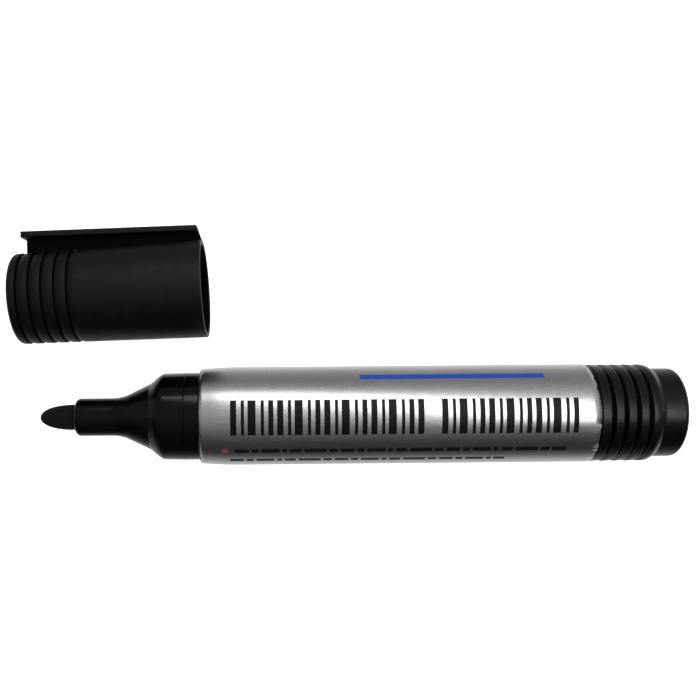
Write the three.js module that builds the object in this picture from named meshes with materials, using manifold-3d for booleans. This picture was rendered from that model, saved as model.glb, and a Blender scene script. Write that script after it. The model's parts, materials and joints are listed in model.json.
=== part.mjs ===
// Felt tip marker with its cap off and lying beside it.
// Millimetres, +Z up. The marker lies along X with its nib towards -X, and the cap lies on its +Y side.
// The origin is at the middle of the whole footprint, on the surface that both lie on.
// A "station" is a distance along the marker from the tip of the nib towards the rear.
// A "depth" is a distance along the cap from its closed end towards its mouth.

import * as THREE from 'three';
import Module from 'manifold-3d';
import { mergeVertices } from 'three/addons/utils/BufferGeometryUtils.js';

const wasm = await Module();
wasm.setup();

// ---------- driving dimensions: nib and front section ----------
const NIB_RADIUS = 2.5;
const NIB_EXPOSED = 7.05;
const NIB_BITE = 8;                  // how far the nib's tail reaches into the reservoir
const NOSE_WALL = 1.1;
const NOSE_LENGTH = 8.85;
const NOSE_EDGE = 0.95;
const CONE_INSET = 2;                // the cone's wide end is this much smaller than the collar
const CONE_LENGTH = 5.85;
const RING_INSET = 0.5;              // and so is the rear of the ring
const RING_LENGTH = 1.75;
const COLLAR_LENGTH = 5.1;
const COLLAR_DRAFT = 0.12;
const COLLAR_EDGE = 0.6;
const FRONT_WALL = 1.2;
const FRONT_SPIGOT_LENGTH = 8;       // the stretch that presses into the barrel's neck

// ---------- driving dimensions: barrel, label and rear plug ----------
const BARREL_RADIUS = 9.4;
const BARREL_WALL = 1.3;
const NECK_LENGTH = 2.8;             // carries on the collar, up to the shoulder
const SHOULDER_HEIGHT = 0.9;         // the collar is this much smaller than the barrel
const SHOULDER_TAPER = 0.35;         // the barrel starts this much smaller at its shoulder
const SHOULDER_TAPER_LENGTH = 5;
const SHOULDER_EDGE = 0.3;
const LABEL_LENGTH = 75.5;
const LABEL_FILM = 0.1;
const BARREL_BEYOND_LABEL = 0.1;
const RIB_COUNT = 4;
const RIB_PITCH = 2.34;
const RIB_WIDTH = 1.64;
const RIB_DEPTH = 0.55;
const RIB_EDGE = 0.3;
const PLUG_SHOULDER_LENGTH = 2.55;   // the last rib, wider and rounded off towards the end
const PLUG_SHOULDER_EDGE = 1.4;
const PLUG_END_STEP = 0.08;          // the plug's end is this much larger than the collar
const PLUG_END_LENGTH = 4.94;
const PLUG_END_EDGE = 1.1;
const PLUG_WALL = 1.3;
const PLUG_SPIGOT_LENGTH = 8;

// ---------- driving dimensions: ink reservoir ----------
const RESERVOIR_FILM = 0.12;
const RESERVOIR_ROOM = 0.45;         // all round and at both ends of the wrapped reservoir

// ---------- driving dimensions: cap ----------
const CAP_WALL = 0.84;
const CAP_TAPER = 0.69;              // the closed end is this much smaller than the mouth
const CAP_GROOVED_TAPER = 0.47;      // and so is the place where the grooves stop
const CAP_END_WALL = 1.4;
const CAP_END_EDGE = 0.9;
const CAP_SEAT_ROOM = 0.6;           // the wide stretch inside the mouth is this much longer than the collar
const CAP_INNER_STEP = 0.6;
const NIB_ROOM = 2.85;               // in front of the nib when the cap is on
const GROOVE_COUNT = 5;
const GROOVE_FIRST = 1.78;
const GROOVE_PITCH = 2.41;
const GROOVE_DEPTH = 0.38;
const GROOVE_RISE = 1.1;
const INNER_CAP_WALL = 0.85;
const INNER_CAP_BASE = 1;
const INNER_CAP_GRIP = 7;            // how much of the nose the liner covers when the cap is on

// ---------- driving dimensions: pocket clip ----------
const CLIP_THICKNESS = 1.2;
const CLIP_WIDTH = 5;
const CLIP_ROOT_RISE = 4.1;          // outer face above the cap's wall at the closed end
const CLIP_TIP_RISE = 2.69;          // and at the mouth
const CLIP_START = 1.65;               // from the closed end to the start of the bar
const CLIP_SHORT_OF_MOUTH = 0.1;
const CLIP_WEB_WIDTH = 2.2;
const CLIP_WEB_SETBACK = 0.75;
const CLIP_WEB_LENGTH = 6.4;
const CLIP_FIN_WIDTH = 1.4;
const CLIP_SLIT = 0.4;               // between the fin and the cap's wall
const CLIP_FLEX_GAP = 0.3;           // thin line where the springy arm starts
const CLIP_TIP_SLANT = 0.8;

// ---------- clearances and places ----------
const RUNNING_GAP = 0.08;            // all round, between coaxial pieces that slip into each other
const FACE_GAP = 0.1;                // between faces that meet end to end
const SEAT_GAP = 0.2;                // all round, between the collar and the cap's mouth when the cap is on
const CAP_LEAN = THREE.MathUtils.degToRad(2.7);
const CAP_BESIDE = 5.88;             // between the label and the cap's mouth
const CAP_BEYOND_SEAT = 1.05;        // the mouth lies this far behind the shoulder it would stop at

// ---------- fineness ----------
const ROUND = 40;
const SMALL_ROUND = 20;
const FILLET_STEPS = 2;
const NIB_STEPS = 8;

// ---------- stations along the marker ----------
const noseStart = NIB_EXPOSED;
const coneStart = noseStart + NOSE_LENGTH;
const ringStart = coneStart + CONE_LENGTH;
const collarStart = ringStart + RING_LENGTH;
const seamStation = collarStart + COLLAR_LENGTH;
const shoulder = seamStation + NECK_LENGTH;
const labelEnd = shoulder + LABEL_LENGTH;
const barrelEnd = labelEnd + BARREL_BEYOND_LABEL;
const ribsStart = barrelEnd + FACE_GAP;
const plugShoulderStart = ribsStart + RIB_COUNT * RIB_PITCH;
const plugEndStart = plugShoulderStart + PLUG_SHOULDER_LENGTH;
const rearEnd = plugEndStart + PLUG_END_LENGTH;
const spigotEnd = seamStation + FRONT_SPIGOT_LENGTH;
const neckEnd = spigotEnd + BARREL_WALL;
const reservoirStart = neckEnd + RESERVOIR_ROOM;
const reservoirEnd = ribsStart - PLUG_SPIGOT_LENGTH - RESERVOIR_ROOM;
const nibEnd = reservoirStart + NIB_BITE;

// ---------- radii of the marker ----------
const collarRadius = BARREL_RADIUS - SHOULDER_HEIGHT;
const ringRadius = collarRadius - RING_INSET;
const coneRadius = collarRadius - CONE_INSET;
const nibBore = NIB_RADIUS + RUNNING_GAP;
const noseRadius = nibBore + NOSE_WALL;
const neckBore = collarRadius - BARREL_WALL;
const spigotRadius = neckBore - RUNNING_GAP;
const barrelBore = BARREL_RADIUS - BARREL_WALL;
const labelRadius = BARREL_RADIUS + RUNNING_GAP + LABEL_FILM;
const ribRadius = labelRadius - LABEL_FILM;
const plugEndRadius = collarRadius + PLUG_END_STEP;
const wrapRadius = barrelBore - RESERVOIR_ROOM;
const reservoirRadius = wrapRadius - RESERVOIR_FILM - RUNNING_GAP;

// ---------- the cap's sizes, which follow the marker's ----------
const capLength = CAP_END_WALL + FACE_GAP + INNER_CAP_BASE + NIB_ROOM + shoulder;
const capSeatLength = COLLAR_LENGTH + NECK_LENGTH + CAP_SEAT_ROOM;
const capSeatRadius = collarRadius + SEAT_GAP;
const capMouthRadius = capSeatRadius + CAP_WALL;
const capGroovedRadius = capMouthRadius - CAP_GROOVED_TAPER;
const capEndRadius = capMouthRadius - CAP_TAPER;
const capBore = capSeatRadius - CAP_INNER_STEP;
const capEndBore = capEndRadius - GROOVE_DEPTH - CAP_WALL;
const groovesEnd = GROOVE_FIRST + GROOVE_COUNT * GROOVE_PITCH;
const innerCapBore = noseRadius + SEAT_GAP + RUNNING_GAP;
const innerCapLength = INNER_CAP_BASE + NIB_ROOM + NIB_EXPOSED + INNER_CAP_GRIP;
const clipWebStart = CLIP_START + CLIP_WEB_SETBACK;
const clipFlexDepth = clipWebStart + CLIP_WEB_LENGTH;

// ---------- helpers ----------

// Rounds the corners of an outline. A corner is [along, out, fillet], and a fillet is optional.
function rounded(corners) {
  const points = [];
  corners.forEach(([along, out, fillet], i) => {
    const corner = new THREE.Vector2(out, along);
    if (!fillet) {
      points.push(corner);
      return;
    }
    const before = corners[(i + corners.length - 1) % corners.length];
    const after = corners[(i + 1) % corners.length];
    points.push(...filletArc(corner, before, after, fillet));
  });
  return points;
}

// A fillet never takes more than half of either side it joins.
function filletArc(corner, before, after, fillet) {
  const back = new THREE.Vector2(before[1], before[0]).sub(corner);
  const ahead = new THREE.Vector2(after[1], after[0]).sub(corner);
  const from = back.setLength(Math.min(fillet, back.length() / 2)).add(corner);
  const to = ahead.setLength(Math.min(fillet, ahead.length() / 2)).add(corner);
  return new THREE.QuadraticBezierCurve(from, corner, to).getPoints(FILLET_STEPS);
}

// Turns an outline about the X axis. It either starts and ends on the axis or closes on itself.
function turned(corners, around = ROUND) {
  const points = rounded(corners);
  const onAxis = points[0].x === 0 && points[points.length - 1].x === 0;
  if (!onAxis) {
    points.push(points[0].clone());
  }
  const geometry = new THREE.LatheGeometry(points, around);
  geometry.rotateZ(-Math.PI / 2);
  return geometry;
}

// A flat outline in X and Y, made `width` thick and centred on Z.
function plate(corners, width) {
  const shape = new THREE.Shape(rounded(corners.map(([x, y, fillet]) => [y, x, fillet])));
  const geometry = new THREE.ExtrudeGeometry(shape, { depth: width, bevelEnabled: false, steps: 1 });
  return geometry.translate(0, 0, -width / 2);
}

function toSolid(geometry) {
  const bare = geometry.clone();
  bare.deleteAttribute('normal');
  bare.deleteAttribute('uv');
  const merged = mergeVertices(bare, 1e-5);
  return new wasm.Manifold(new wasm.Mesh({
    numProp: 3,
    vertProperties: new Float32Array(merged.attributes.position.array),
    triVerts: new Uint32Array(merged.index.array),
  }));
}

function toGeometry(solid) {
  const mesh = solid.getMesh();
  const geometry = new THREE.BufferGeometry();
  geometry.setAttribute('position', new THREE.BufferAttribute(mesh.vertProperties, 3));
  geometry.setIndex(new THREE.BufferAttribute(mesh.triVerts, 1));
  geometry.computeVertexNormals();
  return geometry;
}

function piece(name, geometry, material) {
  const mesh = new THREE.Mesh(geometry, material);
  mesh.name = name;
  return mesh;
}

function finish(color, roughness, metalness = 0) {
  return new THREE.MeshStandardMaterial({ color, roughness, metalness });
}

// The straight line from one [along, out] point to another, read at a place along it.
function lineAt(along, [fromAlong, fromOut], [toAlong, toOut]) {
  const share = (along - fromAlong) / (toAlong - fromAlong);
  return fromOut + share * (toOut - fromOut);
}

// ---------- the marker's pieces ----------

// Bullet-shaped felt: a blunt curve in front, then a straight shank down to a bevelled tail.
function nib() {
  const corners = [[0, 0]];
  for (let step = 1; step <= NIB_STEPS; step += 1) {
    const share = step / NIB_STEPS;
    const along = NIB_EXPOSED * share * share;
    corners.push([along, NIB_RADIUS * Math.sin((Math.PI / 2) * share)]);
  }
  const tail = NIB_RADIUS * 0.7;
  corners.push([nibEnd - tail, NIB_RADIUS], [nibEnd, tail], [nibEnd, 0]);
  return turned(corners, SMALL_ROUND);
}

// Nose, cone, bright ring and collar in one moulding, with a spigot that presses into the barrel.
function frontSection() {
  const spigotBore = spigotRadius - FRONT_WALL;
  return turned([
    [noseStart, nibBore],
    [noseStart, noseRadius, NOSE_EDGE],
    [coneStart, noseRadius, CONE_LENGTH / 3],
    [ringStart, coneRadius],
    [collarStart, ringRadius],
    [collarStart + COLLAR_EDGE, collarRadius - COLLAR_DRAFT, COLLAR_EDGE],
    [seamStation, collarRadius],
    [seamStation, spigotRadius],
    [spigotEnd, spigotRadius, FRONT_WALL / 2],
    [spigotEnd, spigotBore],
    [collarStart + FRONT_WALL, spigotBore],
    [coneStart + FRONT_WALL * 2, nibBore],
  ]);
}

// One tube: a neck that carries on the collar, a shoulder, and a body that the label wraps.
function barrel() {
  const neckStart = seamStation + FACE_GAP;
  return turned([
    [neckStart, neckBore],
    [neckStart, collarRadius],
    [shoulder, collarRadius],
    [shoulder, BARREL_RADIUS - SHOULDER_TAPER, SHOULDER_EDGE],
    [shoulder + SHOULDER_TAPER_LENGTH, BARREL_RADIUS, SHOULDER_TAPER_LENGTH / 2],
    [barrelEnd, BARREL_RADIUS],
    [barrelEnd, barrelBore],
    [neckEnd, barrelBore],
    [spigotEnd, neckBore],
  ]);
}

// Printed film, wrapped round the barrel from the shoulder to just short of the barrel's rear end.
function label() {
  const inner = RUNNING_GAP;
  const outer = RUNNING_GAP + LABEL_FILM;
  const start = shoulder + SHOULDER_EDGE;
  const straight = shoulder + SHOULDER_TAPER_LENGTH;
  const startRadius = lineAt(start, [shoulder, BARREL_RADIUS - SHOULDER_TAPER], [straight, BARREL_RADIUS]);
  return turned([
    [start, startRadius + inner],
    [start, startRadius + outer],
    [straight, BARREL_RADIUS + outer, SHOULDER_TAPER_LENGTH / 2],
    [labelEnd, BARREL_RADIUS + outer],
    [labelEnd, BARREL_RADIUS + inner],
    [straight, BARREL_RADIUS + inner, SHOULDER_TAPER_LENGTH / 2],
  ]);
}

// Fibre rod that holds the ink, with a pocket in its front for the nib's tail.
function inkReservoir() {
  const pocketEnd = nibEnd + FACE_GAP;
  return turned([
    [pocketEnd, 0],
    [pocketEnd, nibBore],
    [reservoirStart, nibBore],
    [reservoirStart, reservoirRadius],
    [reservoirEnd, reservoirRadius],
    [reservoirEnd, 0],
  ], SMALL_ROUND);
}

// Clear film round the fibre rod.
function reservoirWrap() {
  const inner = reservoirRadius + RUNNING_GAP;
  return turned([
    [reservoirStart, inner],
    [reservoirStart, wrapRadius],
    [reservoirEnd, wrapRadius],
    [reservoirEnd, inner],
  ], SMALL_ROUND);
}

// Ribbed grip, plain end and the spigot that presses into the barrel, hollow from the front.
function rearPlug() {
  const grooveRadius = ribRadius - RIB_DEPTH;
  const plugSpigot = barrelBore - RUNNING_GAP;
  const plugBore = plugSpigot - PLUG_WALL;
  const spigotStart = ribsStart - PLUG_SPIGOT_LENGTH;
  const floor = rearEnd - PLUG_WALL;
  const corners = [
    [floor, 0],
    [floor, plugBore],
    [spigotStart, plugBore],
    [spigotStart, plugSpigot, PLUG_WALL / 2],
    [ribsStart, plugSpigot],
  ];
  for (let rib = 0; rib < RIB_COUNT; rib += 1) {
    const ribStart = ribsStart + rib * RIB_PITCH;
    corners.push(
      [ribStart, ribRadius, RIB_EDGE],
      [ribStart + RIB_WIDTH, ribRadius, RIB_EDGE],
      [ribStart + RIB_WIDTH, grooveRadius],
      [ribStart + RIB_PITCH, grooveRadius],
    );
  }
  corners.push(
    [plugShoulderStart, ribRadius, RIB_EDGE],
    [plugEndStart, ribRadius, PLUG_SHOULDER_EDGE],
    [plugEndStart, plugEndRadius],
    [rearEnd, plugEndRadius, PLUG_END_EDGE],
    [rearEnd, 0],
  );
  return turned(corners);
}

// ---------- the cap's pieces, with the closed end at X = 0 and the mouth towards +X ----------

function capWallRadius(depth) {
  if (depth < groovesEnd) {
    return lineAt(depth, [0, capEndRadius], [groovesEnd, capGroovedRadius]);
  }
  return lineAt(depth, [groovesEnd, capGroovedRadius], [capLength, capMouthRadius]);
}

// Each groove drops steeply on the closed-end side and runs out gently towards the mouth.
// The wide seat inside the mouth steps down to the chamber that holds the nose.
function capTube() {
  const seatEnd = capLength - capSeatLength;
  const corners = [[0, 0], [0, capEndRadius, CAP_END_EDGE]];
  for (let groove = 0; groove < GROOVE_COUNT; groove += 1) {
    const edge = GROOVE_FIRST + groove * GROOVE_PITCH;
    corners.push(
      [edge, capWallRadius(edge), GROOVE_DEPTH / 2],
      [edge + GROOVE_DEPTH / 3, capWallRadius(edge) - GROOVE_DEPTH],
      [edge + GROOVE_RISE, capWallRadius(edge + GROOVE_RISE)],
    );
  }
  corners.push(
    [capLength, capMouthRadius, CAP_WALL / 3],
    [capLength, capSeatRadius, CAP_WALL / 3],
    [seatEnd, capSeatRadius],
    [seatEnd - CAP_INNER_STEP, capBore],
    [CAP_END_WALL, capEndBore],
    [CAP_END_WALL, 0],
  );
  return turned(corners);
}

function clipOuterFace(depth) {
  return lineAt(depth, [0, capEndRadius + CLIP_ROOT_RISE], [capLength, capMouthRadius + CLIP_TIP_RISE]);
}

// Root of the clip: the start of the bar, and the web that joins it to the cap's wall.
function clipRoot() {
  const sunk = capEndBore + CAP_WALL / 2;
  const bar = plate([
    [CLIP_START, clipOuterFace(CLIP_START) - CLIP_THICKNESS, CLIP_THICKNESS / 4],
    [CLIP_START, clipOuterFace(CLIP_START), CLIP_THICKNESS / 3],
    [clipFlexDepth, clipOuterFace(clipFlexDepth)],
    [clipFlexDepth, clipOuterFace(clipFlexDepth) - CLIP_THICKNESS],
  ], CLIP_WIDTH);
  const web = plate([
    [clipWebStart, sunk],
    [clipWebStart, clipOuterFace(clipWebStart) - CLIP_THICKNESS / 2],
    [clipFlexDepth, clipOuterFace(clipFlexDepth) - CLIP_THICKNESS / 2],
    [clipFlexDepth, sunk],
  ], CLIP_WEB_WIDTH);
  return toSolid(bar).add(toSolid(web));
}

function capShell() {
  return toGeometry(toSolid(capTube()).add(clipRoot()));
}

// Springy arm: a flat bar with a fin under it that stops just short of the cap's wall.
function capClip() {
  const start = clipFlexDepth + CLIP_FLEX_GAP;
  const end = capLength - CLIP_SHORT_OF_MOUTH;
  const barEnd = end - CLIP_TIP_SLANT;
  const under = (depth) => clipOuterFace(depth) - CLIP_THICKNESS;
  const bar = plate([
    [start, under(start)],
    [start, clipOuterFace(start)],
    [barEnd, clipOuterFace(barEnd), CLIP_THICKNESS / 3],
    [barEnd + CLIP_THICKNESS / 4, under(barEnd)],
  ], CLIP_WIDTH);
  const fin = plate([
    [start, capWallRadius(start) + CLIP_SLIT],
    [start, under(start) + CLIP_THICKNESS / 2],
    [barEnd, under(barEnd) + CLIP_THICKNESS / 2],
    [end, capWallRadius(end) + CLIP_SLIT],
  ], CLIP_FIN_WIDTH);
  return toGeometry(toSolid(bar).add(toSolid(fin)));
}

// Liner pressed into the closed end. Its tube seals round the nose when the cap is on.
function innerCap() {
  const base = CAP_END_WALL + FACE_GAP;
  const flangeRadius = capEndBore - RUNNING_GAP;
  const tubeRadius = innerCapBore + INNER_CAP_WALL;
  return turned([
    [base, 0],
    [base, flangeRadius],
    [base + INNER_CAP_BASE, flangeRadius],
    [base + INNER_CAP_BASE, tubeRadius],
    [base + innerCapLength, tubeRadius],
    [base + innerCapLength, innerCapBore, INNER_CAP_WALL / 2],
    [base + INNER_CAP_BASE, innerCapBore],
    [base + INNER_CAP_BASE, 0],
  ], ROUND);
}

// ---------- materials ----------
const satinBlack = () => finish(0x26272a, 0.45);
const glossBlack = () => finish(0x141618, 0.25);
const matteBlack = () => finish(0x17181a, 0.6);
const silverFilm = () => finish(0xb9bcbf, 0.35, 0.8);
const feltBlack = () => finish(0x101012, 0.95);
const fibreWhite = () => finish(0xd8d6cf, 0.95);
const clearFilm = () => finish(0xe6e8ea, 0.2);

// ---------- assembly ----------
const marker = new THREE.Group();
marker.add(
  piece('nib', nib(), feltBlack()),
  piece('front_section', frontSection(), glossBlack()),
  piece('barrel', barrel(), glossBlack()),
  piece('label_film', label(), silverFilm()),
  piece('ink_reservoir', inkReservoir(), fibreWhite()),
  piece('reservoir_wrap', reservoirWrap(), clearFilm()),
  piece('rear_plug', rearPlug(), matteBlack()),
);

const cap = new THREE.Group();
cap.add(
  piece('cap_shell', capShell(), satinBlack()),
  piece('cap_clip', capClip(), satinBlack()),
  piece('inner_cap', innerCap(), fibreWhite()),
);

// The cap lies on its side, so the narrower closed end dips until its whole underside touches down.
const capDip = Math.atan2(CAP_TAPER, capLength);
const capTurn = new THREE.Quaternion().setFromEuler(new THREE.Euler(0, -capDip, CAP_LEAN, 'ZYX'));
const capAside = labelRadius + CAP_BESIDE + capMouthRadius;
const mouthHeight = capMouthRadius * Math.cos(capDip);
const mouthCentre = new THREE.Vector3(shoulder + CAP_BEYOND_SEAT, capAside, mouthHeight);
const fromMouth = new THREE.Vector3(-capLength, 0, 0).applyQuaternion(capTurn);
cap.quaternion.copy(capTurn);
cap.position.copy(mouthCentre).add(fromMouth);
marker.position.z = labelRadius;

const assembly = new THREE.Group();
assembly.add(marker, cap);

// The origin moves to the middle of the footprint.
const box = new THREE.Box3().setFromObject(assembly, true);
assembly.position.x = -(box.min.x + box.max.x) / 2;
assembly.position.y = -(box.min.y + box.max.y) / 2;

export default assembly;
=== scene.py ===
# %% [markdown]
# # A felt tip marker with its cap off
# A marker of this kind is a plastic tube full of inked fibre. A felt nib comes out of a stepped
# front moulding, a ribbed plug closes the rear, a printed silver film wraps the tube, and a cap with
# a pocket clip pushes over the front. Here the cap is off and lies beside the marker.
# The CAD frame already says where every piece is and how big it is. This script makes the pieces
# again in the same places, finely enough to be looked at closely, and gives them their finishes.

import json
import math
import random

import bmesh
import bpy
from mathutils import Matrix, Vector


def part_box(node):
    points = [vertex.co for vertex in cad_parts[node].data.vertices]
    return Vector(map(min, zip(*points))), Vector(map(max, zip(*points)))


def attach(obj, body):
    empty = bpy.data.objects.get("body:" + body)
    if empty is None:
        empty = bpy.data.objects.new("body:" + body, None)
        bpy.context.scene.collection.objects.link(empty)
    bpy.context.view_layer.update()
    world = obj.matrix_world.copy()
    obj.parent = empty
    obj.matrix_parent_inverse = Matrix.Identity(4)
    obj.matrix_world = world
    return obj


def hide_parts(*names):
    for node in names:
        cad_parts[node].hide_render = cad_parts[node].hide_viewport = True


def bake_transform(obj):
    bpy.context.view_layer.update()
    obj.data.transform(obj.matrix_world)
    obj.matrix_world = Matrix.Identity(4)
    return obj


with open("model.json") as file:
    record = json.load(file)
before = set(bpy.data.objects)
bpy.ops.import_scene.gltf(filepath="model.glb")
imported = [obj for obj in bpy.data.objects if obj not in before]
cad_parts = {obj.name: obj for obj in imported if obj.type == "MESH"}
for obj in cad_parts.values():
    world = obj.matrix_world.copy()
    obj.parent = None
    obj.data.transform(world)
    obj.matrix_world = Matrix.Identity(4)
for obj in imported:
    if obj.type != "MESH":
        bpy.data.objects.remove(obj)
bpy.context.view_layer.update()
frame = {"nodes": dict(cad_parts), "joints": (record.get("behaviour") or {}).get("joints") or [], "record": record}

# %% [markdown]
# ## Two places to work in
# It is easier to turn a piece on a lathe that runs along X than on one that leans. So each piece is
# modelled in millimetres on its own straight axis, and only then carried to where it lies. A
# "station" is a distance along the marker from the tip of its nib, and a "depth" is a distance along
# the cap from its closed end. The frame's mounts and its hinge say where those axes are.

# %% The marker's axis and the cap's axis
MM = 0.001

mounts = {mount["name"]: mount for mount in frame["record"]["mounts"]}
hinges = {joint["name"]: joint for joint in frame["joints"]}

nib_low, nib_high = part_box("nib")
rear = Vector(mounts["rear_end"]["pos_m"])
marker_place = Matrix.Translation((nib_low.x, rear.y, rear.z)) @ Matrix.Scale(MM, 4)
marker_length = (rear.x - nib_low.x) / MM

cap_along = -Vector(mounts["cap_end"]["axis"]).normalized()
cap_across = Vector(hinges["clip_flex"]["axis"]).normalized()
cap_up = cap_across.cross(cap_along).normalized()
cap_turn = Matrix((cap_along, cap_up, cap_across)).transposed().to_4x4()
cap_place = Matrix.Translation(Vector(mounts["cap_end"]["pos_m"])) @ cap_turn @ Matrix.Scale(MM, 4)
print("The marker is", round(marker_length, 2), "mm long")

# %% [markdown]
# ## The stage
# A plain pale floor, seen from straight above with a lens of ordinary length. The camera stands over
# the front half of the marker and looks down with a tilt of only half a degree, and a small lens shift
# brings the whole object into the frame. So sizes along the barrel keep their proportions from end to
# end, and the rear faces of the steps near the nib stay hidden.

# %% The camera
CAMERA_FOOT = Vector((0.04595, 0.00492, 0))
CAMERA_HEIGHT = 0.1725
CAMERA_AIM = Vector((0.06075, 0.01274, 0))
CAMERA_LEAN = 0.0092
CAMERA_ROLL = 0.0087
CAMERA_LENS = 45.18
SENSOR_WIDTH = 36.0

nib_tip = Vector((nib_low.x, rear.y, rear.z))
eye = nib_tip + CAMERA_FOOT + Vector((0, 0, CAMERA_HEIGHT))
sight = Vector((math.tan(CAMERA_LEAN), 0, -1)).normalized()
right = Vector((math.cos(CAMERA_ROLL), -math.sin(CAMERA_ROLL), 0))
right = (right - right.dot(sight) * sight).normalized()
upward = right.cross(sight)
aim = nib_tip + CAMERA_AIM - eye

camera_data = bpy.data.cameras.new("camera")
camera_data.lens = CAMERA_LENS
camera_data.sensor_width = SENSOR_WIDTH
camera_data.shift_x = CAMERA_LENS / SENSOR_WIDTH * aim.dot(right) / aim.dot(sight)
camera_data.shift_y = CAMERA_LENS / SENSOR_WIDTH * aim.dot(upward) / aim.dot(sight)
camera_data.clip_start = 0.005
camera = bpy.data.objects.new("camera", camera_data)
camera.matrix_world = Matrix.Translation(eye) @ Matrix((right, upward, -sight)).transposed().to_4x4()
bpy.context.scene.collection.objects.link(camera)
bpy.context.scene.camera = camera
bpy.context.scene.view_settings.view_transform = "Standard"
print("The camera stands", round(eye.z, 3), "m above the floor")

# %% [markdown]
# ## Soft light
# Black plastic and silver film show what they reflect, so the light is built the way a studio lights
# shiny things: one long softbox on the cap's side, a sky that is the same all round, and a tent whose
# tone changes with the angle about the marker's axis. From straight down it goes round through the
# near side, overhead and the cap's side to straight down again. The tent is seen only in reflections,
# and the floor never is, so the tent alone decides how the round sides fall to dark. It is brighter
# at the marker's rear end, which lights the rear edges of the grip's ribs.

# %% A helper for nodes, and the sky
def add_node(tree, kind, inputs=None, **settings):
    """A new node; an input is either a value or the output socket that feeds it."""
    node = tree.nodes.new(kind)
    for name, value in settings.items():
        setattr(node, name, value)
    for name, value in (inputs or {}).items():
        if isinstance(value, bpy.types.NodeSocket):
            tree.links.new(value, node.inputs[name])
        else:
            node.inputs[name].default_value = value
    return node


def add_ramp(tree, factor, stops):
    """A colour ramp through stops of (place, grey tone or colour)."""
    ramp = add_node(tree, "ShaderNodeValToRGB", {"Fac": factor})
    elements = ramp.color_ramp.elements
    while len(elements) < len(stops):
        elements.new(0.5)
    for element, (place, tone) in zip(elements, stops):
        element.position = place
        element.color = (tone, tone, tone, 1) if isinstance(tone, float) else (*tone, 1)
    return ramp


SKY_STRENGTH = 0.85

world = bpy.data.worlds.new("sky")
world.use_nodes = True
bpy.context.scene.world = world
world.node_tree.nodes["Background"].inputs["Color"].default_value = (0.98, 0.99, 1.0, 1)
world.node_tree.nodes["Background"].inputs["Strength"].default_value = SKY_STRENGTH
print("Sky strength", SKY_STRENGTH)

# %% The floor
FLOOR_RADIUS = 1.6
FLOOR_GLOW = 0.7

bm = bmesh.new()
bmesh.ops.create_circle(bm, cap_ends=True, radius=FLOOR_RADIUS, segments=64)
floor_mesh = bpy.data.meshes.new("floor")
bm.to_mesh(floor_mesh)
bm.free()
floor = bpy.data.objects.new("floor", floor_mesh)
bpy.context.scene.collection.objects.link(floor)

floor_finish = bpy.data.materials.new("pale_floor")
floor_finish.use_nodes = True
floor_shader = floor_finish.node_tree.nodes["Principled BSDF"]
floor_shader.inputs["Base Color"].default_value = (0.88, 0.88, 0.88, 1)
floor_shader.inputs["Roughness"].default_value = 0.9
floor_shader.inputs["Specular IOR Level"].default_value = 0.1
floor_shader.inputs["Emission Color"].default_value = (1, 1, 1, 1)
floor_shader.inputs["Emission Strength"].default_value = FLOOR_GLOW
floor_mesh.materials.append(floor_finish)
print("The floor is a disc", 2 * FLOOR_RADIUS, "m across")

# %% The reflection tent
TENT_RADIUS = 1.5
TENT_TONES = [
    (0.0, 0.9), (0.06, 0.85), (0.12, 0.6), (0.17, 0.3), (0.21, 0.07), (0.25, 0.02), (0.33, 0.045),
    (0.42, 0.17), (0.5, 0.34), (0.64, 0.33), (0.75, 0.21), (0.83, 0.34), (0.92, 0.9), (1.0, 0.9),
]
REAR_WINDOW_START = 0.45 * TENT_RADIUS
REAR_WINDOW_FULL = 0.8 * TENT_RADIUS
REAR_WINDOW_GAIN = 1.7

bm = bmesh.new()
bmesh.ops.create_uvsphere(bm, u_segments=48, v_segments=24, radius=TENT_RADIUS)
bmesh.ops.reverse_faces(bm, faces=bm.faces)
tent_mesh = bpy.data.meshes.new("tent")
bm.to_mesh(tent_mesh)
bm.free()
tent = bpy.data.objects.new("tent", tent_mesh)
bpy.context.scene.collection.objects.link(tent)
for ray in ("camera", "diffuse", "transmission", "volume_scatter", "shadow"):
    setattr(tent, "visible_" + ray, False)

tent_finish = bpy.data.materials.new("tent_cloth")
tent_finish.use_nodes = True
tree = tent_finish.node_tree
tree.nodes.remove(tree.nodes["Principled BSDF"])
place = add_node(tree, "ShaderNodeTexCoord")
parts = add_node(tree, "ShaderNodeSeparateXYZ", {"Vector": place.outputs["Object"]})
angle = add_node(tree, "ShaderNodeMath", operation="ARCTAN2")
tree.links.new(parts.outputs["Y"], angle.inputs[0])
tree.links.new(parts.outputs["Z"], angle.inputs[1])
share = add_node(tree, "ShaderNodeMapRange", {
    "Value": angle.outputs["Value"], "From Min": -math.pi, "From Max": math.pi,
})
tones = add_ramp(tree, share.outputs["Result"], TENT_TONES)
rear_window = add_node(tree, "ShaderNodeMapRange", {
    "Value": parts.outputs["X"], "From Min": REAR_WINDOW_START, "From Max": REAR_WINDOW_FULL,
    "To Min": 1.0, "To Max": REAR_WINDOW_GAIN,
})
glow = add_node(tree, "ShaderNodeEmission", {
    "Color": tones.outputs["Color"], "Strength": rear_window.outputs["Result"],
})
tree.links.new(glow.outputs["Emission"], tree.nodes["Material Output"].inputs["Surface"])
tent_finish.cycles.emission_sampling = "NONE"
tent_mesh.materials.append(tent_finish)
floor.visible_glossy = False
print("The tent is", TENT_RADIUS, "m in radius")

# %% The softbox
SOFTBOX_CENTRE = Vector((0.069, 0.228, 0.41))
SOFTBOX_LENGTH = 0.8
SOFTBOX_WIDTH = 0.16
SOFTBOX_SLANT = math.radians(-62)
SOFTBOX_RADIANCE = 3.6

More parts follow.
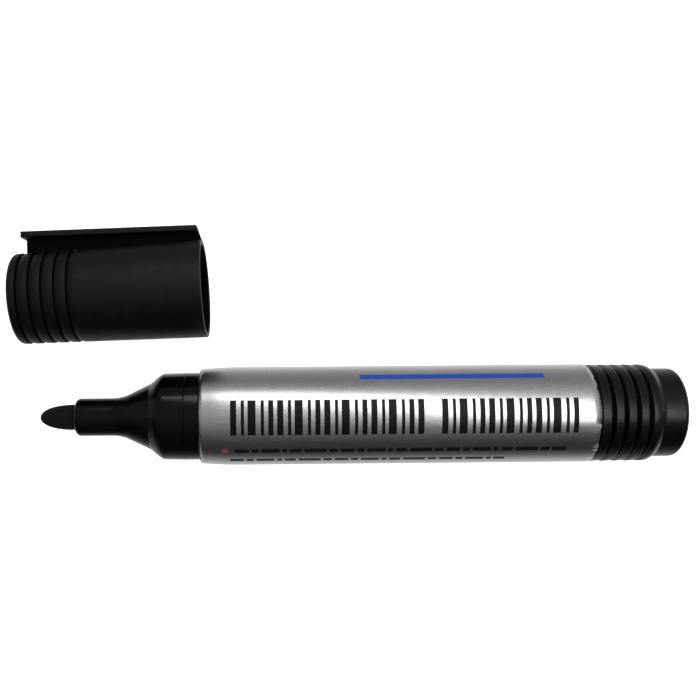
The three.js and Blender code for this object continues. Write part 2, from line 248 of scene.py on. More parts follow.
softbox_light = bpy.data.lights.new("softbox", "AREA")
softbox_light.shape = "RECTANGLE"
softbox_light.size = SOFTBOX_LENGTH
softbox_light.size_y = SOFTBOX_WIDTH
softbox_light.energy = SOFTBOX_RADIANCE * math.pi * SOFTBOX_LENGTH * SOFTBOX_WIDTH
softbox = bpy.data.objects.new("softbox", softbox_light)
softbox.matrix_world = Matrix.Translation(SOFTBOX_CENTRE) @ Matrix.Rotation(SOFTBOX_SLANT, 4, "Z")
softbox.visible_camera = False
bpy.context.scene.collection.objects.link(softbox)
print("The softbox gives", round(softbox_light.energy, 3), "W")

# %% [markdown]
# ## Finishes
# The black mouldings share one recipe, so there is one function for moulded plastic. Its colour drifts
# a little, as dark plastic does where it flowed into the mould. Its roughness changes in patches from
# handling, and a fine grain in the bump comes from the texture of the mould. All of it is made from
# Object coordinates, because a moulding has no direction of its own and needs no UV map. One of the
# blacks is painted shade: darker and with hardly any shine, it goes on faces where shade falls: inside
# the cap, the steep sides of its grooves, and under the clip.

# %% A moulded plastic
FLOW_SIZE = 6 * MM
HANDLING_SIZE = 2.2 * MM


def moulded_plastic(name, colour, roughness, grain_mm, depth_mm, drift=0.25, rub=0.06, specular=0.5):
    finish = bpy.data.materials.new(name)
    finish.use_nodes = True
    tree = finish.node_tree
    shader = tree.nodes["Principled BSDF"]
    place = add_node(tree, "ShaderNodeTexCoord").outputs["Object"]

    flow = add_node(tree, "ShaderNodeTexNoise", {"Vector": place, "Scale": 1 / FLOW_SIZE, "Detail": 3.0})
    pale = tuple(min(1.0, part * (1 + drift)) for part in colour)
    deep = tuple(part * (1 - drift) for part in colour)
    tint = add_ramp(tree, flow.outputs["Fac"], [(0.3, deep), (0.7, pale)])
    tree.links.new(tint.outputs["Color"], shader.inputs["Base Color"])

    handled = add_node(tree, "ShaderNodeTexNoise", {
        "Vector": place, "Scale": 1 / HANDLING_SIZE, "Detail": 4.0,
    })
    rubbed = add_node(tree, "ShaderNodeMapRange", {
        "Value": handled.outputs["Fac"], "From Min": 0.3, "From Max": 0.7,
        "To Min": roughness - rub, "To Max": roughness + rub,
    })
    tree.links.new(rubbed.outputs["Result"], shader.inputs["Roughness"])

    grain = add_node(tree, "ShaderNodeTexNoise", {
        "Vector": place, "Scale": 1 / (grain_mm * MM), "Detail": 2.0,
    })
    raised = add_node(tree, "ShaderNodeBump", {
        "Height": grain.outputs["Fac"], "Strength": 1.0, "Distance": depth_mm * MM,
    })
    tree.links.new(raised.outputs["Normal"], shader.inputs["Normal"])
    shader.inputs["Specular IOR Level"].default_value = specular
    return finish


gloss_black = moulded_plastic(
    "plastic_gloss", (0.0012, 0.0014, 0.0016), 0.17, grain_mm=0.6, depth_mm=0.003, rub=0.04, specular=0.22,
)
matte_black = moulded_plastic(
    "plastic_matte", (0.0010, 0.0010, 0.0011), 0.28, grain_mm=0.2, depth_mm=0.014, specular=0.31,
)
satin_black = moulded_plastic(
    "plastic_satin", (0.0010, 0.0012, 0.0018), 0.50, grain_mm=0.35, depth_mm=0.006, specular=0.27,
)
# Painted shade: a darker black with hardly any shine, for faces where shade falls.
painted_shade_black = moulded_plastic(
    "plastic_painted_shade", (0.0008, 0.0008, 0.0010), 0.6, grain_mm=0.35, depth_mm=0.006, specular=0.04,
)
liner_black = moulded_plastic(
    "plastic_liner", (0.0012, 0.0012, 0.0012), 0.4, grain_mm=0.8, depth_mm=0.004, specular=0.2,
)
plastics = (gloss_black, matte_black, satin_black, painted_shade_black, liner_black)
print("Plastics:", ", ".join(finish.name for finish in plastics))

# %% [markdown]
# Pressed felt is a mat of fibres that run mostly along the nib. It scatters light in every direction,
# with a soft halo at its edge where single fibres stand up. So it gets a high roughness, a little
# sheen, and a bump whose noise is drawn out along X.

# %% Pressed felt and bundled fibre
def fibres(name, colour, fibre_mm, fibre_length_mm, depth_mm, sheen):
    finish = bpy.data.materials.new(name)
    finish.use_nodes = True
    tree = finish.node_tree
    shader = tree.nodes["Principled BSDF"]
    place = add_node(tree, "ShaderNodeTexCoord").outputs["Object"]
    combed = add_node(tree, "ShaderNodeMapping", {
        "Vector": place,
        "Scale": (1 / (fibre_length_mm * MM), 1 / (fibre_mm * MM), 1 / (fibre_mm * MM)),
    })
    strands = add_node(tree, "ShaderNodeTexNoise", {
        "Vector": combed.outputs["Vector"], "Scale": 1.0, "Detail": 5.0, "Roughness": 0.6,
    })
    deep = tuple(part * 0.5 for part in colour)
    pale = tuple(part * 1.7 for part in colour)
    tint = add_ramp(tree, strands.outputs["Fac"], [(0.3, deep), (0.7, pale)])
    tree.links.new(tint.outputs["Color"], shader.inputs["Base Color"])
    dull = add_node(tree, "ShaderNodeMapRange", {
        "Value": strands.outputs["Fac"], "To Min": 0.8, "To Max": 1.0,
    })
    tree.links.new(dull.outputs["Result"], shader.inputs["Roughness"])
    raised = add_node(tree, "ShaderNodeBump", {
        "Height": strands.outputs["Fac"], "Strength": 1.0, "Distance": depth_mm * MM,
    })
    tree.links.new(raised.outputs["Normal"], shader.inputs["Normal"])
    shader.inputs["Sheen Weight"].default_value = sheen
    shader.inputs["Sheen Roughness"].default_value = 0.5
    shader.inputs["Specular IOR Level"].default_value = 0.3
    return finish


felt = fibres("nib_felt", (0.0017, 0.0017, 0.0020), 0.09, 0.5, 0.05, 0.004)
inked_fibre = fibres("reservoir_fibre", (0.03, 0.03, 0.035), 0.06, 8.0, 0.03, 0.1)
print("Fibres:", felt.name, inked_fibre.name)

# %% [markdown]
# The silver film is a thin metallised sheet with fine flakes, a faint grain along the barrel, and slow
# ripples where it was stretched on. It is the one surface with a direction, so it reads the piece's own
# UV map, where U runs along the barrel and V runs round it, both in metres. The inks lie on the same
# film, so they share its grain and only change its colour and take away the metal.

# %% Silver film and the inks on it
GRAIN_LENGTH = 2.5 * MM
GRAIN_WIDTH = 0.2 * MM
FLAKE_SIZE = 0.24 * MM
FLAKE_SHARE = 0.65
TEXTURE_DEPTH = 0.0012 * MM
RIPPLE_LENGTH = 3 * MM
RIPPLE_WIDTH = 16 * MM
RIPPLE_DEPTH = 0.05 * MM


def printed_film(name, colour, metallic, roughness, specular=0.5):
    finish = bpy.data.materials.new(name)
    finish.use_nodes = True
    tree = finish.node_tree
    shader = tree.nodes["Principled BSDF"]
    place = add_node(tree, "ShaderNodeUVMap", uv_map="film").outputs["UV"]

    brushed = add_node(tree, "ShaderNodeMapping", {
        "Vector": place, "Scale": (1 / GRAIN_LENGTH, 1 / GRAIN_WIDTH, 1),
    })
    grain = add_node(tree, "ShaderNodeTexNoise", {
        "Vector": brushed.outputs["Vector"], "Scale": 1.0, "Detail": 2.0, "Roughness": 0.5,
    })
    flakes = add_node(tree, "ShaderNodeTexNoise", {
        "Vector": place, "Scale": 1 / FLAKE_SIZE, "Detail": 1.0,
    })
    both = add_node(tree, "ShaderNodeMix", {
        "Factor": FLAKE_SHARE, "A": grain.outputs["Fac"], "B": flakes.outputs["Fac"],
    })
    deep = tuple(part * 0.84 for part in colour)
    pale = tuple(min(1.0, part * 1.16) for part in colour)
    tint = add_ramp(tree, both.outputs["Result"], [(0.35, deep), (0.65, pale)])
    tree.links.new(tint.outputs["Color"], shader.inputs["Base Color"])

    worn = add_node(tree, "ShaderNodeMapRange", {
        "Value": grain.outputs["Fac"], "From Min": 0.35, "From Max": 0.65,
        "To Min": roughness - 0.02, "To Max": roughness + 0.02,
    })
    tree.links.new(worn.outputs["Result"], shader.inputs["Roughness"])

    stretched = add_node(tree, "ShaderNodeMapping", {
        "Vector": place, "Scale": (1 / RIPPLE_LENGTH, 1 / RIPPLE_WIDTH, 1),
    })
    ripples = add_node(tree, "ShaderNodeTexNoise", {
        "Vector": stretched.outputs["Vector"], "Scale": 1.0, "Detail": 1.0,
    })
    rippled = add_node(tree, "ShaderNodeBump", {
        "Height": ripples.outputs["Fac"], "Strength": 1.0, "Distance": RIPPLE_DEPTH,
    })
    raised = add_node(tree, "ShaderNodeBump", {
        "Height": both.outputs["Result"], "Strength": 1.0, "Distance": TEXTURE_DEPTH,
        "Normal": rippled.outputs["Normal"],
    })
    tree.links.new(raised.outputs["Normal"], shader.inputs["Normal"])
    shader.inputs["Metallic"].default_value = metallic
    shader.inputs["Specular IOR Level"].default_value = specular
    return finish


silver_film = printed_film("film_silver", (0.62, 0.62, 0.63), 1.0, 0.30)
black_ink = printed_film("ink_black", (0.0026, 0.0026, 0.0030), 0.0, 0.4, 0.15)
grey_ink = printed_film("ink_grey", (0.0040, 0.0040, 0.0046), 0.0, 0.4, 0.15)
blue_ink = printed_film("ink_blue", (0.008, 0.055, 0.34), 0.2, 0.35, 0.3)
red_ink = printed_film("ink_red", (0.22, 0.02, 0.03), 0.1, 0.4, 0.3)
film_finishes = [silver_film, black_ink, grey_ink, blue_ink, red_ink]
print("Film and inks:", ", ".join(finish.name for finish in film_finishes))

# %% A clear film for the reservoir
clear_film = moulded_plastic(
    "film_clear", (0.75, 0.77, 0.78), 0.15, grain_mm=1.5, depth_mm=0.01, drift=0.03,
)
clear_film.node_tree.nodes["Principled BSDF"].inputs["Transmission Weight"].default_value = 0.6
print("Clear film:", clear_film.name)

# %% [markdown]
# ## Turning a piece
# Almost everything here is round, so almost everything is turned. A few corners give half of the
# section, each with the radius it is rounded to. Bevelling a corner of a bare line rounds it, and
# spinning the line about X makes the solid. A primitive cylinder could be cut and scaled into the same
# shape, but then each step would be a loop cut, and a section is what the drawing gives.

# %% Turn a section about its axis
ROUND = 128
CORNER_STEPS = 4
SMOOTH_BELOW = math.radians(32)
TINY = 1e-4


def section(corners, closed):
    """A line through corners of [along, out, rounding], rounded where the rounding isn't 0."""
    bm = bmesh.new()
    points = [bm.verts.new((corner[0], 0, corner[1])) for corner in corners]
    pairs = list(zip(points, points[1:])) + ([(points[-1], points[0])] if closed else [])
    for pair in pairs:
        bm.edges.new(pair)
    roundings = [(point, corner[2]) for point, corner in zip(points, corners) if len(corner) > 2]
    for point, rounding in roundings:
        bmesh.ops.bevel(
            bm, geom=[point], offset=rounding, offset_type="OFFSET", segments=CORNER_STEPS,
            profile=0.5, affect="VERTICES", material=-1, clamp_overlap=False,
        )
    return bm


def turn(corners, around=ROUND):
    """A closed solid, turned from a section that starts and ends on the axis or closes on itself."""
    on_axis = corners[0][1] == 0 and corners[-1][1] == 0
    bm = section(corners, closed=not on_axis)
    bmesh.ops.spin(
        bm, geom=bm.verts[:] + bm.edges[:], cent=(0, 0, 0), axis=(1, 0, 0), dvec=(0, 0, 0),
        angle=math.tau, steps=around, use_merge=True, use_normal_flip=False, use_duplicate=False,
    )
    bmesh.ops.remove_doubles(bm, verts=bm.verts, dist=TINY)
    bmesh.ops.recalc_face_normals(bm, faces=bm.faces)
    return bm


def place_piece(name, bm, place, finishes):
    """Carries a finished shape to its place and makes it an object that sits at the origin."""
    bm.transform(place)
    mesh = bpy.data.meshes.new(name)
    bm.to_mesh(mesh)
    bm.free()
    for finish in finishes:
        mesh.materials.append(finish)
    mesh.polygons.foreach_set("use_smooth", [True] * len(mesh.polygons))
    mesh.set_sharp_from_angle(angle=SMOOTH_BELOW)
    piece = bpy.data.objects.new(name, mesh)
    bpy.context.scene.collection.objects.link(piece)
    return piece


def even_shading(piece):
    """Large faces keep their own normal, so a flat stays flat beside a rounded edge."""
    even = piece.modifiers.new("even_shading", "WEIGHTED_NORMAL")
    even.keep_sharp = True


# %% [markdown]
# ## The nib
# The nib is a rod of pressed felt with a bullet-shaped point. The point is blunt, so its section
# leaves the axis at a right angle. A sine against the square of its step gives that curve, and more
# of its points are spent near the tip, where it turns fastest.

# %% The nib
NIB_RADIUS = 2.5
NIB_EXPOSED = 7.05
NIB_STEPS = 14

nib_end = (nib_high.x - nib_low.x) / MM
nib_tail = NIB_RADIUS * 0.7
nib_section = [(0, 0)]
for step in range(1, NIB_STEPS + 1):
    share = step / NIB_STEPS
    nib_section.append((NIB_EXPOSED * share ** 2, NIB_RADIUS * math.sin(math.pi / 2 * share)))
nib_section += [(nib_end - nib_tail, NIB_RADIUS), (nib_end, nib_tail), (nib_end, 0)]
nib = place_piece("felt_nib", turn(nib_section, 64), marker_place, [felt])
even_shading(nib)
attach(nib, "marker")
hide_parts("nib")
print("Nib:", len(nib.data.polygons), "faces")

# %% [markdown]
# ## The front section
# One glossy moulding: a nose that holds the nib, a cone, a short steep chamfer, and a collar that the
# cap grips. Its rear is a spigot, pressed into the barrel, so only the outside up to the seam is ever
# seen. The rounding at the front of the nose and at the front of the collar is what catches the light.

# %% The front section
front_low, front_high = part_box("front_section")
nose = (front_low.x - nib_low.x) / MM
spigot_end = (front_high.x - nib_low.x) / MM
COLLAR_RADIUS = 8.5
CONE_RADIUS = 6.5
NOSE_RADIUS = 3.68
NIB_BORE = 2.58
SPIGOT_RADIUS = 7.12
SPIGOT_BORE = 5.92
CONE_START = nose + 8.85
CONE_END = CONE_START + 5.85
COLLAR_START = CONE_END + 1.75
SEAM = COLLAR_START + 5.1

front = place_piece("front_moulding", turn([
    (nose, NIB_BORE, 0.12),
    (nose, NOSE_RADIUS, 0.95),
    (CONE_START, NOSE_RADIUS, 1.5),
    (CONE_END, CONE_RADIUS, 0.15),
    (COLLAR_START - 0.1, 7.95, 0.6),
    (COLLAR_START + 0.7, 8.4, 0.45),
    (SEAM, COLLAR_RADIUS, 0.08),
    (SEAM, SPIGOT_RADIUS),
    (spigot_end, SPIGOT_RADIUS, 0.5),
    (spigot_end, SPIGOT_BORE),
    (COLLAR_START + 1.2, SPIGOT_BORE),
    (CONE_START + 2.4, NIB_BORE),
]), marker_place, [gloss_black])
even_shading(front)
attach(front, "marker")
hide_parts("front_section")
print("Front section:", len(front.data.polygons), "faces")

# %% [markdown]
# ## The barrel
# The barrel is one long tube. Its neck carries on the collar behind a fine seam, then it steps up to
# the body at a small shoulder and swells to its full width over a few millimetres.

# %% The barrel
barrel_low, barrel_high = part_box("barrel")
neck = (barrel_low.x - nib_low.x) / MM
barrel_end = (barrel_high.x - nib_low.x) / MM
barrel_radius = (barrel_high.z - rear.z) / MM
SHOULDER = neck + 2.7
SHOULDER_TAPER = 0.35
SHOULDER_TAPER_LENGTH = 5
BARREL_WALL = 1.3
NECK_BORE = 7.2

barrel = place_piece("barrel_tube", turn([
    (neck, NECK_BORE),
    (neck, COLLAR_RADIUS, 0.08),
    (SHOULDER, COLLAR_RADIUS),
    (SHOULDER, barrel_radius - SHOULDER_TAPER, 0.25),
    (SHOULDER + SHOULDER_TAPER_LENGTH, barrel_radius, 2.4),
    (barrel_end, barrel_radius, 0.1),
    (barrel_end, barrel_radius - BARREL_WALL),
    (spigot_end + BARREL_WALL, barrel_radius - BARREL_WALL),
    (spigot_end, NECK_BORE),
]), marker_place, [gloss_black])
even_shading(barrel)
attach(barrel, "marker")
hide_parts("barrel")
print("Barrel:", len(barrel.data.polygons), "faces")

# %% [markdown]
# ## The printed film
# The film is printed flat and then wrapped round the barrel, so it is made that way too. A flat grid
# stands for the unrolled sheet, with stations along X and the angle round the barrel along Y. The
# artwork's outlines are cut into it, which keeps their edges sharp from any distance, and the faces
# inside them take an ink. Painting the artwork with texture nodes would also work, but a cut edge
# survives being baked and exported. The artwork is plain: upright strokes, thin dashes, a dot and a
# straight stripe.

# %% The flat sheet
label_low, label_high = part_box("label_film")
label_start = (label_low.x - nib_low.x) / MM
label_end = (label_high.x - nib_low.x) / MM
label_radius = (label_high.z - rear.z) / MM
FILM_THICKNESS = 0.1
SHEET_STEPS_ALONG = 25
SHEET_STEPS_ROUND = 144

sheet = bmesh.new()
bmesh.ops.create_grid(sheet, x_segments=SHEET_STEPS_ALONG, y_segments=SHEET_STEPS_ROUND, size=0.5)
bmesh.ops.scale(sheet, vec=(label_end - label_start, 360, 1), verts=sheet.verts)
bmesh.ops.translate(sheet, vec=((label_start + label_end) / 2, 0, 0), verts=sheet.verts)
print("Sheet:", len(sheet.faces), "faces, angles from -180 to 180 degrees")

# %% Cut lines into the sheet
SHOULDER_CUTS = 12
SHOULDER_CUT_PITCH = 0.6
REAR_MARGIN = 1.4            # the crooked edge is drawn out of this last stretch alone


def faces_between(bm, lowest, highest):
    """The faces whose middle lies between two angles."""
    return [face for face in bm.faces if lowest < face.calc_center_median().y < highest]


def cut(bm, faces, point, direction):
    """Cuts faces along the plane through a point and square to a direction."""
    touched = {edge for face in faces for edge in face.edges}
    corners = {vert for face in faces for vert in face.verts}
    bmesh.ops.bisect_plane(
        bm, geom=[*corners, *touched, *faces], dist=TINY, plane_co=point, plane_no=direction,
    )


def print_patches(bm, angles, stretches, ink):
    """Inks the stretches of stations in one band between two angles."""
    for angle in angles:
        cut(bm, bm.faces[:], (0, angle, 0), (0, 1, 0))
    for stretch in stretches:
        for station in stretch:
            cut(bm, faces_between(bm, *angles), (station, 0, 0), (1, 0, 0))
    for face in faces_between(bm, *angles):
        middle = face.calc_center_median().x
        if any(start < middle < end for start, end in stretches):
            face.material_index = ink


for line in range(1, SHOULDER_CUTS + 1):
    cut(sheet, sheet.faces[:], (label_start + line * SHOULDER_CUT_PITCH, 0, 0), (1, 0, 0))
cut(sheet, sheet.faces[:], (label_end - REAR_MARGIN, 0, 0), (1, 0, 0))
print("Sheet with the shoulder's cuts:", len(sheet.faces), "faces")

# %% The artwork
BLACK, GREY, BLUE, RED = range(1, 5)
STROKE_WIDTHS = (1.15, 0.6, 1.5, 0.6, 0.95)
STROKE_GAPS = (0.85, 0.65, 0.95, 0.8, 0.7)
DASH_WIDTHS = (2.6, 1.3, 3.4, 0.9, 2.1, 4.2, 1.6)
DASH_GAP = 0.55


def rhythm(start, end, widths, gaps):
    """Stretches of the widths in turn, with the gaps between them, from start to no further than end."""
    stretches, station, turn_number = [], start, 0
    while station + widths[turn_number % len(widths)] <= end:
        width = widths[turn_number % len(widths)]
        stretches.append((station, station + width))
        station += width + gaps[turn_number % len(gaps)]
        turn_number += 1
    return stretches


strokes = rhythm(37.55, 74.6, STROKE_WIDTHS, STROKE_GAPS)
strokes += rhythm(77.0, 102.6, STROKE_WIDTHS, STROKE_GAPS)
print_patches(sheet, (-21.0, 19.0), strokes, BLACK)
print_patches(sheet, (-45.5, -39.5), rhythm(38.3, 101.9, DASH_WIDTHS, (DASH_GAP,)), GREY)
print_patches(sheet, (-63.0, -57.5), rhythm(37.3, 92.0, DASH_WIDTHS, (DASH_GAP,)), GREY)
print_patches(sheet, (-45.0, -39.0), [(35.9, 36.9)], RED)
print_patches(sheet, (46.0, 54.0), [(62.0, 97.0)], BLUE)
print("Printed sheet:", len(sheet.faces), "faces,", len(strokes), "strokes")

# %% [markdown]
# The sheet now takes its UV map, while it is still flat, and then every point goes round the barrel.
# The film follows the barrel's shoulder, so its radius depends on the station. Its rear edge runs a
# little crooked and is slightly ragged. A smooth lean round the barrel makes it crooked, and one small
# random shift per point of the last ring makes it ragged. The shifts come from a seeded generator, so
# each run gives the same edge.

# %% Wrap the sheet round the barrel
CROOKED = 0.7
RAGGED = 0.2
DEEP_NOTCHES = 0.4           # share of the notches that are of full depth
SHALLOW = 0.25               # and how deep the others are beside them
straight = SHOULDER + SHOULDER_TAPER_LENGTH
full_slope = SHOULDER_TAPER / SHOULDER_TAPER_LENGTH
ease = SHOULDER_TAPER_LENGTH / 2


def film_radius(station):
    if station >= straight + ease:
        return label_radius
    if station >= straight - ease:
        return label_radius - full_slope / (4 * ease) * (straight + ease - station) ** 2
    return label_radius - full_slope * (straight - station)


film_map = sheet.loops.layers.uv.new("film")
for face in sheet.faces:
    for loop in face.loops:
        flat = loop.vert.co
        loop[film_map].uv = (flat.x * MM, math.radians(flat.y) * label_radius * MM)

dice = random.Random(7)
last_ring = sorted(
    (vert for vert in sheet.verts if vert.co.x > label_end - TINY), key=lambda vert: vert.co.y,
)
notches = [
    dice.uniform(-RAGGED, 0) * (1 if dice.random() < DEEP_NOTCHES else SHALLOW) for vert in last_ring[:-1]
]
for vert, notch in zip(last_ring, notches + notches[:1]):
    lean = CROOKED * ((1 + math.sin(math.radians(vert.co.y))) / 2) ** 2
    vert.co.x += notch - lean
for vert in sheet.verts:
    station, angle = vert.co.x, math.radians(vert.co.y)
    out = film_radius(station)
    vert.co = (station, out * math.sin(angle), out * math.cos(angle))
bmesh.ops.remove_doubles(sheet, verts=sheet.verts, dist=TINY)
bmesh.ops.recalc_face_normals(sheet, faces=sheet.faces)

film = place_piece("printed_film", sheet, marker_place, film_finishes)
thick = film.modifiers.new("film_thickness", "SOLIDIFY")
thick.thickness = FILM_THICKNESS * MM
thick.offset = -1
even_shading(film)
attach(film, "marker")
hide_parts("label_film")
print("Film:", len(film.data.polygons), "faces, starting", round(label_start, 2), "mm from the tip")

# %% [markdown]
# ## The rear plug
# The plug is a matte moulding with raised ribs to grip, and V-shaped grooves between them. Each rib is
# crisp where it rises out of its groove and falls away slightly behind. The first rib is a little
# wider than the next three. The last, behind them, is the widest and rounds down to the plain end.

# %% The rear plug
plug_low, plug_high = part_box("rear_plug")
plug_spigot_start = (plug_low.x - nib_low.x) / MM
rib_radius = (plug_high.z - rear.z) / MM
PLUG_WALL = 1.3
PLUG_SPIGOT_LENGTH = 8
PLUG_SHOULDER_LENGTH = 2.55
PLUG_SLIP_GAP = 0.08
ribs_start = plug_spigot_start + PLUG_SPIGOT_LENGTH
RIB_COUNT = 4
RIB_PITCH = 2.34
RIB_WIDTH = 1.5
RIB_DEPTH = 0.85
RIB_FALL = 0.07
RIB_SHIFT = 0.22
PLUG_END_RADIUS = 8.66
PLUG_SHOULDER = ribs_start + RIB_COUNT * RIB_PITCH + RIB_SHIFT
PLUG_END = ribs_start + RIB_COUNT * RIB_PITCH + PLUG_SHOULDER_LENGTH
plug_spigot = barrel_radius - BARREL_WALL - PLUG_SLIP_GAP

plug_section = [
    (marker_length - PLUG_WALL, 0),
    (marker_length - PLUG_WALL, plug_spigot - PLUG_WALL),
    (plug_spigot_start, plug_spigot - PLUG_WALL),
    (plug_spigot_start, plug_spigot, 0.6),
    (ribs_start, plug_spigot),
]
for rib in range(RIB_COUNT):
    rise = ribs_start + rib * RIB_PITCH + (RIB_SHIFT if rib else 0)
    fall = ribs_start + rib * RIB_PITCH + RIB_SHIFT + RIB_WIDTH
    plug_section += [
        (rise, rib_radius, 0.1),
        (fall, rib_radius - RIB_FALL, 0.2),
        (fall + (RIB_PITCH - RIB_WIDTH) / 2, rib_radius - RIB_DEPTH, 0.08),
    ]
plug_section += [
    (PLUG_SHOULDER, rib_radius, 0.12),
    (PLUG_END - 0.95, rib_radius - 0.06, 0.5),
    (PLUG_END + 0.05, PLUG_END_RADIUS, 0.3),
    (marker_length, PLUG_END_RADIUS - 0.02, 1.05),
    (marker_length, 0),
]
plug = place_piece("ribbed_plug", turn(plug_section), marker_place, [matte_black])
even_shading(plug)
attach(plug, "marker")
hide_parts("rear_plug")
print("Plug:", len(plug.data.polygons), "faces")

# %% [markdown]
# ## The cap
# The cap is a thin tapered tube, closed at one end, with five grip grooves round that end. A groove is
# cut like a step: it drops sharply and then rises gently towards the mouth. Inside the mouth is a
# wider seat that the collar snaps into. The inside and the steep sides take the painted shade: a
# darker black with hardly any shine.

# %% The cap's tube
CAP_END_RADIUS = 8.83
CAP_GROOVED_RADIUS = 9.05
CAP_MOUTH_RADIUS = 9.52
CAP_LENGTH = 36.75
CAP_START = 0.02
CAP_END_EDGE = 0.88
CAP_WALL = 0.84
CAP_END_WALL = 1.4
CAP_BORE = 8.1
CAP_END_BORE = 7.63
GROOVE_COUNT = 5
GROOVE_FIRST = 1.78
GROOVE_PITCH = 2.41
GROOVE_DEPTH = 0.38
GROOVE_RISE = 1.1
GROOVE_DROP = 0.1
GROOVE_FLOOR_END = 0.26
GROOVES_END = GROOVE_FIRST + GROOVE_COUNT * GROOVE_PITCH
CAP_SEAT = 8.5
CAP_SEAT_STEP = 0.6


def cap_wall(depth):
    """The outer radius of the cap at a depth."""
    if depth < GROOVES_END:
        return CAP_END_RADIUS + (CAP_GROOVED_RADIUS - CAP_END_RADIUS) * depth / GROOVES_END
    share = (depth - GROOVES_END) / (CAP_LENGTH - GROOVES_END)
    return CAP_GROOVED_RADIUS + (CAP_MOUTH_RADIUS - CAP_GROOVED_RADIUS) * share


groove_edges = [GROOVE_FIRST + groove * GROOVE_PITCH for groove in range(GROOVE_COUNT)]
tube_section = [(CAP_START, 0), (CAP_START, CAP_END_RADIUS, CAP_END_EDGE)]
for edge in groove_edges:
    tube_section += [
        (edge, cap_wall(edge), 0.06),
        (edge + GROOVE_DROP, cap_wall(edge) - GROOVE_DEPTH, 0.06),
        (edge + GROOVE_FLOOR_END, cap_wall(edge) - GROOVE_DEPTH + 0.04),
        (edge + GROOVE_RISE, cap_wall(edge + GROOVE_RISE), 0.3),
    ]
tube_section += [
    (CAP_LENGTH, CAP_MOUTH_RADIUS, 0.22),
    (CAP_LENGTH, CAP_MOUTH_RADIUS - CAP_WALL, 0.22),
    (CAP_LENGTH - CAP_SEAT, CAP_MOUTH_RADIUS - CAP_WALL, 0.2),
    (CAP_LENGTH - CAP_SEAT - CAP_SEAT_STEP, CAP_BORE, 0.2),
    (CAP_END_WALL, CAP_END_BORE, 0.5),
    (CAP_END_WALL, 0),
]
print("Cap section:", len(tube_section), "corners, grooves at", [round(edge, 2) for edge in groove_edges])

# %% Paint shade on the inside and the steep sides, and place the tube
SATIN, PAINTED_SHADE = range(2)
LIP = 0.2                    # the rims beyond this keep the satin black


def is_inside(middle):
    out = math.hypot(middle.y, middle.z)
    between_ends = CAP_END_WALL - LIP < middle.x < CAP_LENGTH - LIP
    return between_ends and out < cap_wall(middle.x) - CAP_WALL * 0.8


def is_steep(middle):
    return any(edge - 0.05 < middle.x < edge + 0.25 for edge in groove_edges)


tube_bm = turn(tube_section)
# The inside and the steep sides of the grooves get the painted shade.
for face in tube_bm.faces:
    middle = face.calc_center_median()
    face.material_index = PAINTED_SHADE if is_inside(middle) or is_steep(middle) else SATIN
tube = place_piece("cap_tube", tube_bm, cap_place, [satin_black, painted_shade_black])
even_shading(tube)
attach(tube, "cap")
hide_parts("cap_shell")
print("Cap tube:", len(tube.data.polygons), "faces")

# %% [markdown]
# ## The pocket clip
# The clip is one moulding with the cap: a flat bar, joined to the cap's wall by a web near the closed
# end, with a thin fin under the rest of it that stops just short of the wall. The bar is a side
# outline made thick. The underside is cut into three strips, and the middle one is drawn down to make
# web and fin together, so nothing overlaps. Both lie in the bar's shade and take the painted shade, a
# darker black with hardly any shine. The real clip springs a few degrees at the end of its web; here it stays at
# rest.

# %% The pocket clip
CLIP_WIDTH = 5.0
CLIP_THICKNESS = 1.2
CLIP_ROOT_RISE = 4.1
CLIP_TIP_RISE = 2.69
CLIP_ROOT_OUT = CAP_END_RADIUS + CLIP_ROOT_RISE
CLIP_TIP_OUT = CAP_MOUTH_RADIUS + CLIP_TIP_RISE
CLIP_START = 1.65
CLIP_BAR_END = 35.85
CLIP_TIP_END = 36.65
CLIP_FIN_WIDTH = 1.4
CLIP_WEB_WIDTH = 2.2
CLIP_WEB_START = 2.4
CLIP_WEB_END = 8.8
CLIP_FIN_START = 9.15
CLIP_SLIT = 0.06
CLIP_SLANT = 0.25
CLIP_CUTS = (CLIP_WEB_START, 5.5, CLIP_WEB_END, CLIP_FIN_START, 13, 18, 24, 30)


def clip_out(depth):
    """The clip's outer face, above the cap's axis, at a depth."""
    return CLIP_ROOT_OUT + (CLIP_TIP_OUT - CLIP_ROOT_OUT) * depth / CAP_LENGTH


clip_bm = bmesh.new()
side = [
    (CLIP_START, clip_out(CLIP_START) - CLIP_THICKNESS),
    (CLIP_START, clip_out(CLIP_START)),
    (CLIP_BAR_END, clip_out(CLIP_BAR_END)),
    (CLIP_BAR_END + CLIP_SLANT, clip_out(CLIP_BAR_END) - CLIP_THICKNESS),
]
outline = clip_bm.faces.new([clip_bm.verts.new((x, y, -CLIP_WIDTH / 2)) for x, y in side])
drawn = bmesh.ops.extrude_face_region(clip_bm, geom=[outline])
far_corners = [part for part in drawn["geom"] if isinstance(part, bmesh.types.BMVert)]
bmesh.ops.translate(clip_bm, vec=(0, 0, CLIP_WIDTH), verts=far_corners)
bmesh.ops.recalc_face_normals(clip_bm, faces=clip_bm.faces)
for offset in (-CLIP_FIN_WIDTH / 2, CLIP_FIN_WIDTH / 2):
    cut(clip_bm, clip_bm.faces[:], (0, 0, offset), (0, 0, 1))
for depth in CLIP_CUTS:
    cut(clip_bm, clip_bm.faces[:], (depth, 0, 0), (1, 0, 0))
print("Clip bar:", len(clip_bm.faces), "faces")

# %% The web and the fin
WEB_DROP = 0.6               # the web ends within the cap's wall, this much lower than the mouth's seat
CLIP_EDGE = 0.28


def is_under_middle(face):
    middle = face.calc_center_median()
    return face.normal.y < -0.9 and abs(middle.z) < CLIP_FIN_WIDTH / 2 and middle.x > CLIP_WEB_START


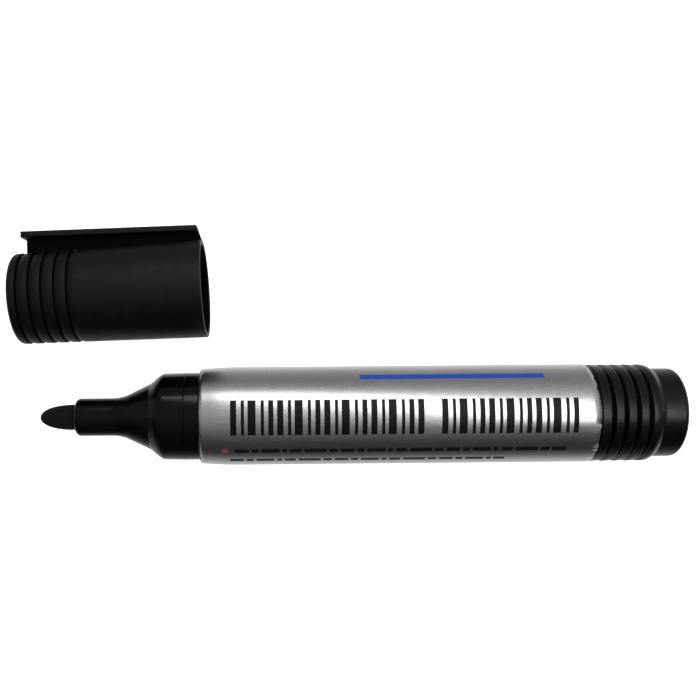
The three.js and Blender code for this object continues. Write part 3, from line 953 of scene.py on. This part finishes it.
clip_bm.normal_update()
strip = [face for face in clip_bm.faces if is_under_middle(face)]
lowered = bmesh.ops.extrude_face_region(clip_bm, geom=strip)
for part in lowered["geom"]:
    if isinstance(part, bmesh.types.BMVert):
        depth = part.co.x
        if depth < CLIP_FIN_START - 0.1:
            part.co.y = CAP_MOUTH_RADIUS - CAP_WALL - WEB_DROP
            part.co.z *= CLIP_WEB_WIDTH / CLIP_FIN_WIDTH
        else:
            if depth > CLIP_BAR_END:
                part.co.x = CLIP_TIP_END
            part.co.y = cap_wall(part.co.x) + CLIP_SLIT
bmesh.ops.delete(clip_bm, geom=[face for face in strip if face.is_valid], context="FACES_ONLY")
bmesh.ops.recalc_face_normals(clip_bm, faces=clip_bm.faces)

edge_of_bar = [
    edge for edge in clip_bm.edges
    if len(edge.link_faces) == 2 and edge.calc_face_angle(0) > math.radians(50)
    and all(abs(abs(vert.co.z) - CLIP_WIDTH / 2) < TINY for vert in edge.verts)
]
bmesh.ops.bevel(
    clip_bm, geom=edge_of_bar, offset=CLIP_EDGE, offset_type="OFFSET", segments=3, profile=0.5,
    affect="EDGES", material=-1, clamp_overlap=True,
)
# Faces below the bar's underside get the painted shade.
for face in clip_bm.faces:
    middle = face.calc_center_median()
    if middle.y < clip_out(middle.x) - CLIP_THICKNESS - 0.05:
        face.material_index = PAINTED_SHADE
clip = place_piece("pocket_clip", clip_bm, cap_place, [satin_black, painted_shade_black])
even_shading(clip)
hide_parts("cap_clip")
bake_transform(clip)
print("Clip:", len(clip.data.polygons), "faces")

# %% [markdown]
# ## Inside
# A liner sits in the closed end of the cap and seals round the nose. It shows only to someone who
# looks into the mouth. The reservoir and its clear film are closed in by the barrel, so they keep
# their CAD shapes and only get their finishes.

# %% The liner
LINER_START = 1.5
LINER_BASE = 1
LINER_BASE_RADIUS = 7.16
LINER_LENGTH = 17.9
LINER_BORE = 3.96
LINER_WALL = 0.85
liner_floor = LINER_START + LINER_BASE
liner_rim = LINER_START + LINER_LENGTH
liner_radius = LINER_BORE + LINER_WALL

liner = place_piece("cap_liner", turn([
    (LINER_START, 0),
    (LINER_START, LINER_BASE_RADIUS, 0.3),
    (liner_floor, LINER_BASE_RADIUS, 0.3),
    (liner_floor, liner_radius, 0.3),
    (liner_rim, liner_radius, 0.2),
    (liner_rim, LINER_BORE, 0.4),
    (liner_floor, LINER_BORE, 0.3),
    (liner_floor, 0),
], 96), cap_place, [liner_black])
even_shading(liner)
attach(liner, "cap")
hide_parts("inner_cap")
print("Liner:", len(liner.data.polygons), "faces")

# %% The reservoir and its film
for node, finish in (("ink_reservoir", inked_fibre), ("reservoir_wrap", clear_film)):
    cad_piece = frame["nodes"][node]
    cad_piece.data.materials.clear()
    cad_piece.data.materials.append(finish)
    print(node, "takes", finish.name)
